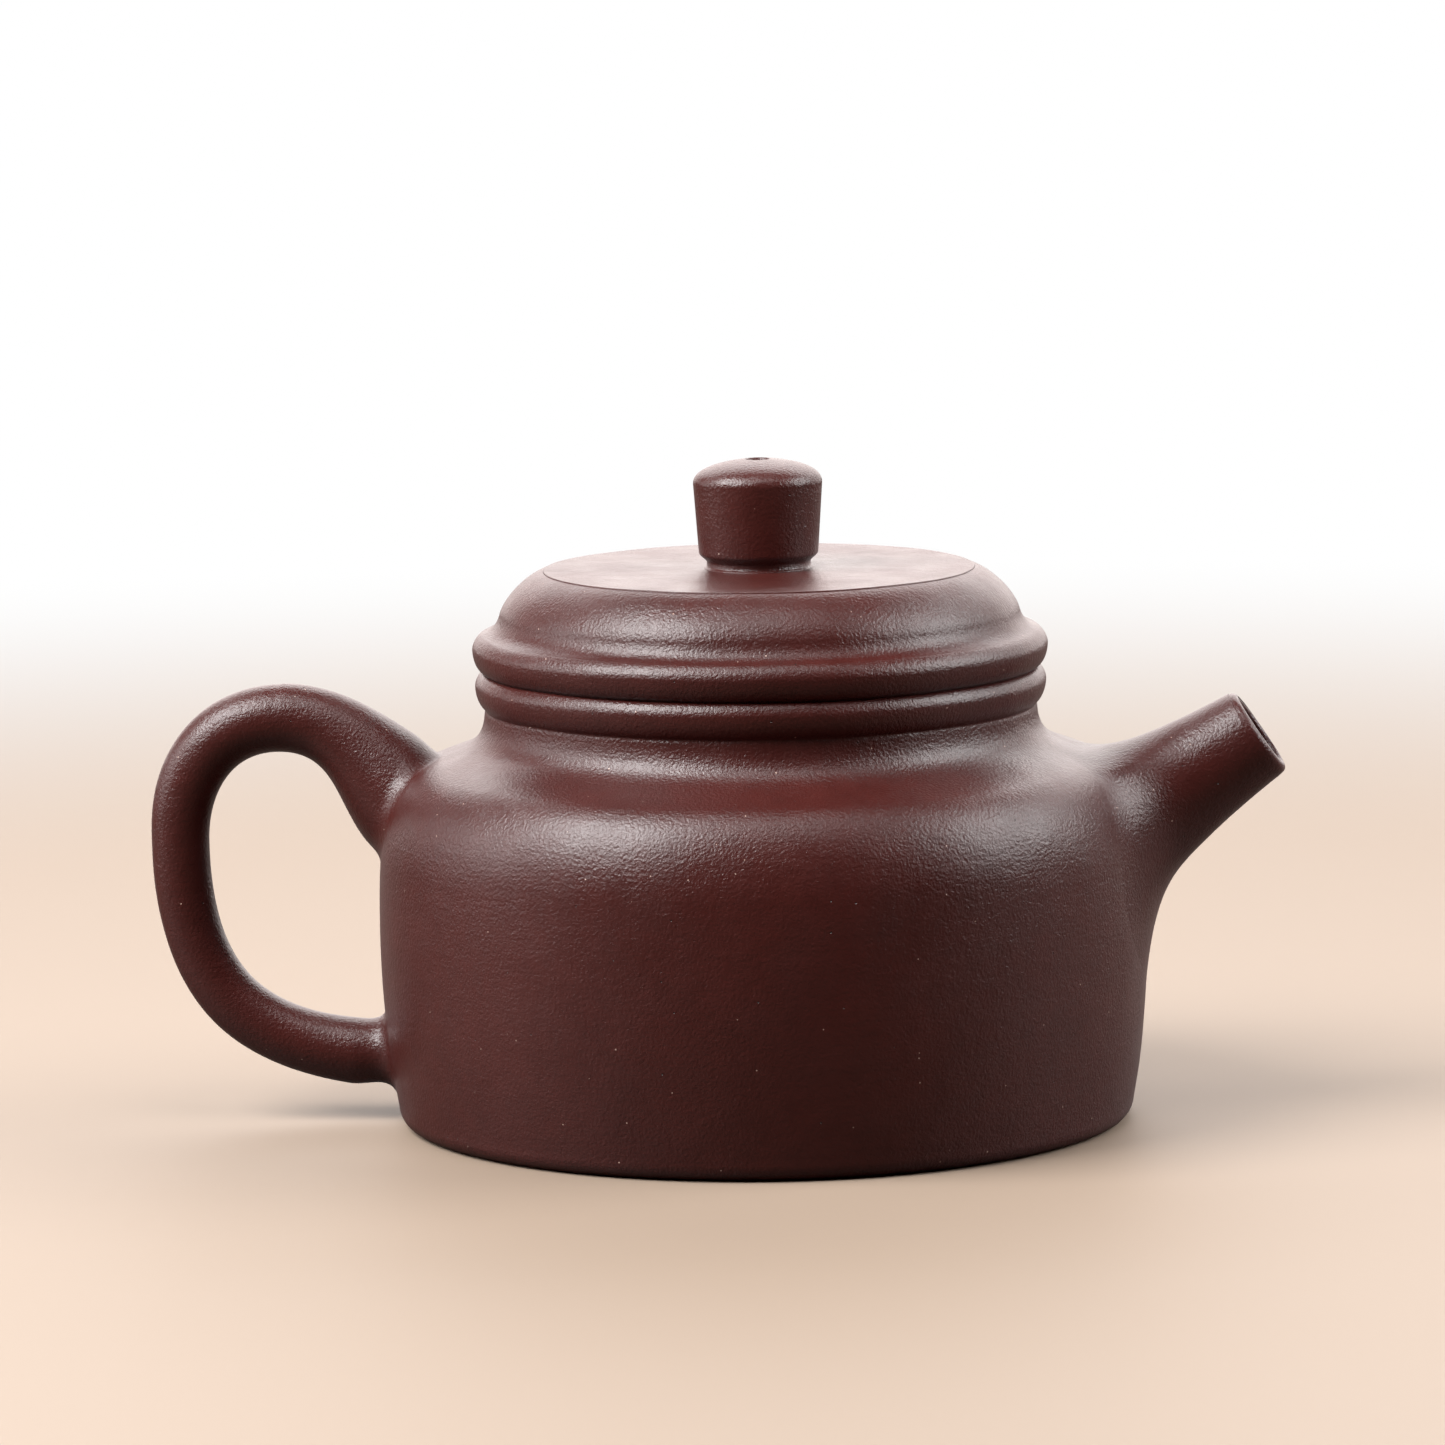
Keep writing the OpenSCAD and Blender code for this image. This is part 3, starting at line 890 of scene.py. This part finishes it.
def spout_mesh():
    rings = [spout_ring(0, lip_round * (1 - math.sin(a)), lip_round * (1 - math.cos(a)))
             for a in (math.radians(18 * i) for i in range(6))]
    rings += [spout_ring(spout_end + (spout_root - spout_end) * i / 30) for i in range(31)]
    root = Footprint(0, 17, 34, 46.6, 17)
    rings += root_rings(rings[-1], rings[-2], root, 0.33, (0.36, 0.6))
    return carve(run_tree(ring_solid(rings), modelling_tree, Clay=burnished_clay), passage_tool())


place("spout_clay", spout_mesh(), "spout", "pot", "burnished_clay", sharp=40)

# %% [markdown]
# The handle is one rolled strip of clay bent to the shape of an ear. It leaves the corner of the shoulder
# thick and strong, thins over the top, drops in an almost round bow and comes back level to the wall just
# above the foot. It is a little wider than it is thick. Its tube stops short of the body at both ends, and
# the roots take over from there.

# %% The handle
handle_top = in_plane(((-38, 44.3), (-44.5, 48.8), (-50.5, 53.9), (-58.9, 53.8)))
handle_low = in_plane(((-45, 31.5), (-52.5, 35), (-50.5, 45.4), (-58.9, 45.5)))
handle_bow = [in_plane(((-58.9, 49.6), (-66.5, 49.6), (-71.5, 43.5), (-71.5, 35))),
              in_plane(((-71.5, 35), (-71.5, 16.5), (-64, 7.9), (-43.4, 7.9)))]
handle_thick = ((4.1, 4.0, 3.8, 3.55), (3.55, 3.45, 3.55, 4.35))
handle_oval = 1.03
handle_root_width = (9, 6.2, 4.4, 4.1 * handle_oval)
high_cut, low_cut = 0.24, 0.87


def handle_root_ring(t):
    high, low = bezier(handle_top, t), bezier(handle_low, t)
    return oval((high + low) / 2, (high - low) / 2, bezier(handle_root_width, t))


def handle_bow_ring(part, t):
    line = handle_bow[part]
    way = (bezier(line, min(1, t + 0.01)) - bezier(line, max(0, t - 0.01))).normalized()
    thick = bezier(handle_thick[part], t)
    return oval(bezier(line, t), Vector((way.z, 0, -way.x)) * thick, thick * handle_oval)


def handle_mesh():
    middle = [handle_root_ring(high_cut + (1 - high_cut) * i / 40) for i in range(40)]
    middle += [handle_bow_ring(0, i / 36) for i in range(36)]
    middle += [handle_bow_ring(1, low_cut * i / 44) for i in range(45)]
    high_root = Footprint(math.pi, 31.6, 39.0, 44.9, 9.6)
    low_root = Footprint(math.pi, 2.4, 7.9, 14.0, 6.3, first=-1)
    high = root_rings(middle[0], middle[1], high_root, 0.4, (0.18, 0.35))
    low = root_rings(middle[-1], middle[-2], low_root, 0.4, (0.5, 0.5))
    return run_tree(ring_solid(high[::-1] + middle + low), modelling_tree, Clay=burnished_clay)


place("handle_clay", handle_mesh(), "handle", "pot", "burnished_clay", sharp=40)

# %% [markdown]
# Behind the spout's passage stands the strainer, a half ball of clay pierced by rings of small holes that
# keeps the leaves back. Its ball is turned like the other pieces. A tree of its own lays out the hole
# cutters in rings round the passage's axis and takes them all away at once. What sticks out through the
# wall is cut off along the middle of the wall's thickness.

# %% The strainer
strainer_outer_r = 8.2
strainer_inner_r = 6.9


def make_piercing_tree():
    ball_r = strainer_outer_r * MM
    tree, given, result = new_tree("pierced_ball", [("Ball Radius", "NodeSocketFloat", ball_r),
                                                    ("Hole Radius", "NodeSocketFloat", 0.00065),
                                                    ("Ring Step", "NodeSocketFloat", 17.0),
                                                    ("Clay", "NodeSocketMaterial", None)])
    link = tree.links.new
    points = tree.nodes.new("GeometryNodeMeshLine")
    points.inputs["Count"].default_value = 19
    number = tree.nodes.new("GeometryNodeInputIndex").outputs[0]
    second = calculate(tree, "GREATER_THAN", number, 0.5)
    third = calculate(tree, "GREATER_THAN", number, 6.5)
    ring = calculate(tree, "ADD", second, third)
    in_ring = calculate(tree, "SUBTRACT", calculate(tree, "SUBTRACT", number, second),
                        calculate(tree, "MULTIPLY", third, 6.0))
    ring_angle = calculate(tree, "DIVIDE", math.pi / 3, calculate(tree, "MAXIMUM", ring, 1.0))
    turn = calculate(tree, "MULTIPLY", in_ring, ring_angle)
    tilt = calculate(tree, "RADIANS", calculate(tree, "MULTIPLY", ring, given.outputs["Ring Step"]))
    rotation = tree.nodes.new("ShaderNodeCombineXYZ")
    link(tilt, rotation.inputs["Y"])
    link(turn, rotation.inputs["Z"])
    direction = tree.nodes.new("ShaderNodeVectorRotate")
    direction.rotation_type = "EULER_XYZ"
    up = tree.nodes.new("ShaderNodeCombineXYZ")
    link(given.outputs["Ball Radius"], up.inputs["Z"])
    link(up.outputs[0], direction.inputs["Vector"])
    link(rotation.outputs[0], direction.inputs["Rotation"])
    placed = tree.nodes.new("GeometryNodeSetPosition")
    link(points.outputs[0], placed.inputs["Geometry"])
    link(direction.outputs[0], placed.inputs["Position"])
    cutter = tree.nodes.new("GeometryNodeMeshCylinder")
    cutter.inputs["Vertices"].default_value = 20
    cutter.inputs["Depth"].default_value = 0.005
    link(given.outputs["Hole Radius"], cutter.inputs["Radius"])
    copies = tree.nodes.new("GeometryNodeInstanceOnPoints")
    link(placed.outputs[0], copies.inputs["Points"])
    link(cutter.outputs["Mesh"], copies.inputs["Instance"])
    link(rotation.outputs[0], copies.inputs["Rotation"])
    pierced = tree.nodes.new("GeometryNodeMeshBoolean")
    pierced.operation = "DIFFERENCE"
    link(given.outputs["Geometry"], pierced.inputs["Mesh 1"])
    link(copies.outputs["Instances"], pierced.inputs["Mesh 2"])
    finish_tree(tree, pierced.outputs["Mesh"], given, result)
    return tree


def strainer_mesh():
    arc = [math.radians(5 * i) for i in range(27)]
    outside_arc = [point(strainer_outer_r * math.sin(a), strainer_outer_r * math.cos(a)) for a in arc]
    inside_arc = [point(strainer_inner_r * math.sin(a), strainer_inner_r * math.cos(a)) for a in arc]
    outline = outside_arc + inside_arc[::-1]
    ball = turned(outline, plain_clay, closed=False, segments=96)
    ball = run_tree(ball, make_piercing_tree(), Clay=plain_clay)
    ball.transform(along_spout(-strainer_depth) @ Matrix.Rotation(math.pi, 4, "X"))
    into_wall = point(1.2, 0.0)
    mid_wall = [p + into_wall for p in between(inside, base_t, neck_join_z)]
    room = turned([point(0, base_t)] + mid_wall + [point(0, neck_join_z)], None, closed=False)
    return carve(ball, room, "INTERSECT")


place("strainer_clay", strainer_mesh(), "strainer", "pot", "plain_clay")
